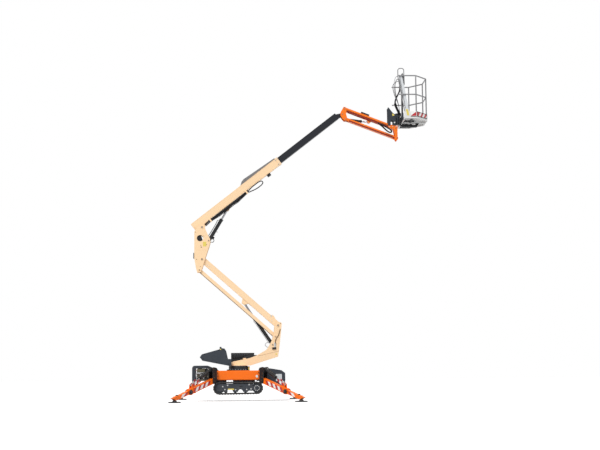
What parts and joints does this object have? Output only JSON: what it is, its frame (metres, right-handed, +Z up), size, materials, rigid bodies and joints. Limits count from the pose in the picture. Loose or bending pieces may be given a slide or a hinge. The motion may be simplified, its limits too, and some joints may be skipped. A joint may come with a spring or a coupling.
{
  "type": "tracked boom lift",
  "caption": "Compact tracked lift on four splayed outriggers with a folding lower arm, telescopic boom, jib and railed basket.",
  "frame": {"origin": "on the floor under the slewing axis, midway between the four outrigger pads", "axes": "+X towards the basket as stored, +Z up, -Y is the front side; the side view looks along +Y"},
  "size_m": [6.7751, 3.43, 8.7424],
  "materials": {
    "orange_paint": "gloss",
    "cream_paint": "gloss",
    "navy_paint": "satin",
    "black_paint": "satin",
    "grey_paint": "satin",
    "rod_chrome": "polished",
    "dark_plastic": "matte",
    "track_rubber": "matte",
    "hose_rubber": "matte",
    "engine_iron": "rough",
    "rail_aluminium": "brushed"
  },
  "bodies": {
    "chassis": {"chassis_frame": "orange_paint", "corner_brackets": "black_paint", "slew_base": "black_paint", "engine_hood": "dark_plastic", "engine_block": "engine_iron", "right_hood": "dark_plastic", "track_belt_front": "track_rubber", "track_belt_back": "track_rubber", "track_frame_front": "grey_paint", "track_frame_back": "grey_paint", "track_wheels_front": "grey_paint", "track_wheels_back": "grey_paint"},
    "turret": {"turret": "cream_paint", "tail_cover": "dark_plastic", "valve_box": "dark_plastic"},
    "lower_beam": {"lower_beam": "cream_paint"},
    "lower_link": {"lower_link": "cream_paint"},
    "knuckle": {"knuckle": "cream_paint"},
    "lower_barrel": {"lower_cylinder_barrel": "black_paint"},
    "lower_rod": {"lower_cylinder_rod": "rod_chrome"},
    "main_boom": {"main_boom": "cream_paint", "boom_cover": "dark_plastic", "boom_hoses": "hose_rubber"},
    "inner_boom": {"inner_boom": "navy_paint"},
    "main_barrel": {"main_cylinder_barrel": "black_paint"},
    "main_rod": {"main_cylinder_rod": "rod_chrome"},
    "tip_bracket": {"tip_bracket": "orange_paint"},
    "jib_upper": {"jib_upper": "orange_paint"},
    "jib_lower": {"jib_lower": "orange_paint"},
    "jib_head": {"jib_head": "orange_paint", "head_mast": "black_paint"},
    "jib_barrel": {"jib_cylinder_barrel": "black_paint"},
    "jib_rod": {"jib_cylinder_rod": "rod_chrome"},
    "basket": {"basket_bracket": "black_paint", "basket_floor": "grey_paint", "basket_rails": "rail_aluminium", "basket_columns": "rail_aluminium", "control_console": "dark_plastic"},
    "leg_front_left": {"leg_front_left": "orange_paint"},
    "leg_extension_front_left": {"leg_extension_front_left": "orange_paint", "leg_foot_front_left": "black_paint"},
    "leg_barrel_front_left": {"leg_cylinder_barrel_front_left": "black_paint"},
    "leg_rod_front_left": {"leg_cylinder_rod_front_left": "rod_chrome"},
    "leg_front_right": {"leg_front_right": "orange_paint"},
    "leg_extension_front_right": {"leg_extension_front_right": "orange_paint", "leg_foot_front_right": "black_paint"},
    "leg_barrel_front_right": {"leg_cylinder_barrel_front_right": "black_paint"},
    "leg_rod_front_right": {"leg_cylinder_rod_front_right": "rod_chrome"},
    "leg_back_left": {"leg_back_left": "orange_paint"},
    "leg_extension_back_left": {"leg_extension_back_left": "orange_paint", "leg_foot_back_left": "black_paint"},
    "leg_barrel_back_left": {"leg_cylinder_barrel_back_left": "black_paint"},
    "leg_rod_back_left": {"leg_cylinder_rod_back_left": "rod_chrome"},
    "leg_back_right": {"leg_back_right": "orange_paint"},
    "leg_extension_back_right": {"leg_extension_back_right": "orange_paint", "leg_foot_back_right": "black_paint"},
    "leg_barrel_back_right": {"leg_cylinder_barrel_back_right": "black_paint"},
    "leg_rod_back_right": {"leg_cylinder_rod_back_right": "rod_chrome"}
  },
  "joints": [
    {"name": "slew", "type": "hinge", "parent": "chassis", "child": "turret", "pos_m": [0, 0, 0.9], "axis": [0, 0, 1], "range_deg": [-180, 180]},
    {"name": "lower_lift", "type": "hinge", "parent": "turret", "child": "lower_beam", "pos_m": [1.04, 0, 1.947], "axis": [0, 1, 0], "range_deg": [-57, 30]},
    {"name": "lower_link_swing", "type": "hinge", "parent": "turret", "child": "lower_link", "pos_m": [0.972, 0, 1.662], "axis": [0, 1, 0], "range_deg": [-58, 31]},
    {"name": "knuckle_level", "type": "hinge", "parent": "lower_beam", "child": "knuckle", "pos_m": [-0.949, 0, 3.688], "axis": [0, 1, 0], "range_deg": [-31, 58]},
    {"name": "lower_barrel_swing", "type": "hinge", "parent": "turret", "child": "lower_barrel", "pos_m": [0.895, 0, 1.45], "axis": [0, 1, 0], "range_deg": [-46.5, 24.95]},
    {"name": "lower_rod_slide", "type": "slide", "parent": "lower_barrel", "child": "lower_rod", "axis": [-0.5625, 0, 0.8268], "range_m": [-0.4431, 0.2346]},
    {"name": "main_lift", "type": "hinge", "parent": "knuckle", "child": "main_boom", "pos_m": [-0.95, 0, 4.535], "axis": [0, -1, 0], "range_deg": [-38, 35]},
    {"name": "main_barrel_swing", "type": "hinge", "parent": "knuckle", "child": "main_barrel", "pos_m": [-0.775, 0, 4.18], "axis": [0, -1, 0], "range_deg": [-30.67, 28.33]},
    {"name": "main_rod_slide", "type": "slide", "parent": "main_barrel", "child": "main_rod", "axis": [0.5064, 0, 0.8623], "range_m": [-0.2264, 0.2088]},
    {"name": "telescope", "type": "slide", "parent": "main_boom", "child": "inner_boom", "axis": [0.7859, 0, 0.6184], "range_m": [-1.8, 0.15]},
    {"name": "tip_level", "type": "hinge", "parent": "inner_boom", "child": "tip_bracket", "pos_m": [2.8, 0, 7.6], "axis": [0, -1, 0], "range_deg": [-36, 39]},
    {"name": "jib_lift", "type": "hinge", "parent": "tip_bracket", "child": "jib_upper", "pos_m": [2.86, 0, 7.745], "axis": [0, -1, 0], "range_deg": [-35, 50]},
    {"name": "jib_lower_swing", "type": "hinge", "parent": "tip_bracket", "child": "jib_lower", "pos_m": [2.885, 0, 7.475], "axis": [0, -1, 0], "range_deg": [-36, 51]},
    {"name": "jib_head_level", "type": "hinge", "parent": "jib_upper", "child": "jib_head", "pos_m": [4.2351, 0, 7.22539], "axis": [0, -1, 0], "range_deg": [-51, 36]},
    {"name": "jib_barrel_swing", "type": "hinge", "parent": "tip_bracket", "child": "jib_barrel", "pos_m": [2.885, 0, 7.475], "axis": [0, -1, 0], "range_deg": [-37.06, 52.52]},
    {"name": "jib_rod_slide", "type": "slide", "parent": "jib_barrel", "child": "jib_rod", "axis": [0.9919, 0, -0.127], "range_m": [-0.1499, 0.2128]},
    {"name": "basket_turn", "type": "hinge", "parent": "jib_head", "child": "basket", "pos_m": [4.2951, 0, 7.35039], "axis": [0, 0, 1], "range_deg": [-62, 62]},
    {"name": "leg_fold_front_left", "type": "hinge", "parent": "chassis", "child": "leg_front_left", "pos_m": [-0.66, -0.45, 0.52], "axis": [0.7768, -0.6298, 0], "range_deg": [-60, 4]},
    {"name": "leg_reach_front_left", "type": "slide", "parent": "leg_front_left", "child": "leg_extension_front_left", "axis": [-0.6039, -0.7448, -0.284], "range_m": [-0.25, 0]},
    {"name": "leg_barrel_swing_front_left", "type": "hinge", "parent": "chassis", "child": "leg_barrel_front_left", "pos_m": [-0.69779, -0.49661, 0.82], "axis": [0.7768, -0.6298, 0], "range_deg": [-65.72, 5.31]},
    {"name": "leg_rod_slide_front_left", "type": "slide", "parent": "leg_barrel_front_left", "child": "leg_rod_front_left", "axis": [-0.554, -0.6833, -0.4755], "range_m": [-0.3232, 0.0243]},
    {"name": "leg_fold_front_right", "type": "hinge", "parent": "chassis", "child": "leg_front_right", "pos_m": [0.66, -0.45, 0.52], "axis": [0.7768, 0.6298, 0], "range_deg": [-60, 4]},
    {"name": "leg_reach_front_right", "type": "slide", "parent": "leg_front_right", "child": "leg_extension_front_right", "axis": [0.6039, -0.7448, -0.284], "range_m": [-0.25, 0]},
    {"name": "leg_barrel_swing_front_right", "type": "hinge", "parent": "chassis", "child": "leg_barrel_front_right", "pos_m": [0.69779, -0.49661, 0.82], "axis": [0.7768, 0.6298, 0], "range_deg": [-65.72, 5.31]},
    {"name": "leg_rod_slide_front_right", "type": "slide", "parent": "leg_barrel_front_right", "child": "leg_rod_front_right", "axis": [0.554, -0.6833, -0.4755], "range_m": [-0.3232, 0.0243]},
    {"name": "leg_fold_back_left", "type": "hinge", "parent": "chassis", "child": "leg_back_left", "pos_m": [-0.66, 0.45, 0.52], "axis": [-0.7768, -0.6298, 0], "range_deg": [-60, 4]},
    {"name": "leg_reach_back_left", "type": "slide", "parent": "leg_back_left", "child": "leg_extension_back_left", "axis": [-0.6039, 0.7448, -0.284], "range_m": [-0.25, 0]},
    {"name": "leg_barrel_swing_back_left", "type": "hinge", "parent": "chassis", "child": "leg_barrel_back_left", "pos_m": [-0.69779, 0.49661, 0.82], "axis": [-0.7768, -0.6298, 0], "range_deg": [-65.72, 5.31]},
    {"name": "leg_rod_slide_back_left", "type": "slide", "parent": "leg_barrel_back_left", "child": "leg_rod_back_left", "axis": [-0.554, 0.6833, -0.4755], "range_m": [-0.3232, 0.0243]},
    {"name": "leg_fold_back_right", "type": "hinge", "parent": "chassis", "child": "leg_back_right", "pos_m": [0.66, 0.45, 0.52], "axis": [-0.7768, 0.6298, 0], "range_deg": [-60, 4]},
    {"name": "leg_reach_back_right", "type": "slide", "parent": "leg_back_right", "child": "leg_extension_back_right", "axis": [0.6039, 0.7448, -0.284], "range_m": [-0.25, 0]},
    {"name": "leg_barrel_swing_back_right", "type": "hinge", "parent": "chassis", "child": "leg_barrel_back_right", "pos_m": [0.69779, 0.49661, 0.82], "axis": [-0.7768, 0.6298, 0], "range_deg": [-65.72, 5.31]},
    {"name": "leg_rod_slide_back_right", "type": "slide", "parent": "leg_barrel_back_right", "child": "leg_rod_back_right", "axis": [0.554, 0.6833, -0.4755], "range_m": [-0.3232, 0.0243]}
  ],
  "couplings": [
    {"joint": "lower_link_swing", "follows": "lower_lift", "ratio": 1},
    {"joint": "knuckle_level", "follows": "lower_lift", "ratio": -1},
    {"joint": "lower_barrel_swing", "follows": "lower_lift", "ratio": 0.7982},
    {"joint": "lower_rod_slide", "follows": "lower_lift", "m_per_rad": 0.4424},
    {"joint": "main_barrel_swing", "follows": "main_lift", "ratio": 0.7808},
    {"joint": "main_rod_slide", "follows": "main_lift", "m_per_rad": 0.3369},
    {"joint": "tip_level", "follows": "main_lift", "ratio": -1},
    {"joint": "jib_lower_swing", "follows": "jib_lift", "ratio": 1},
    {"joint": "jib_head_level", "follows": "jib_lift", "ratio": -1},
    {"joint": "jib_barrel_swing", "follows": "jib_lift", "ratio": 1.0304},
    {"joint": "jib_rod_slide", "follows": "jib_lift", "m_per_rad": 0.2404},
    {"joint": "leg_barrel_swing_front_left", "follows": "leg_fold_front_left", "ratio": 1.0786},
    {"joint": "leg_rod_slide_front_left", "follows": "leg_fold_front_left", "m_per_rad": 0.3058},
    {"joint": "leg_barrel_swing_front_right", "follows": "leg_fold_front_right", "ratio": 1.0786},
    {"joint": "leg_rod_slide_front_right", "follows": "leg_fold_front_right", "m_per_rad": 0.3058},
    {"joint": "leg_barrel_swing_back_left", "follows": "leg_fold_back_left", "ratio": 1.0786},
    {"joint": "leg_rod_slide_back_left", "follows": "leg_fold_back_left", "m_per_rad": 0.3058},
    {"joint": "leg_barrel_swing_back_right", "follows": "leg_fold_back_right", "ratio": 1.0786},
    {"joint": "leg_rod_slide_back_right", "follows": "leg_fold_back_right", "m_per_rad": 0.3058}
  ]
}
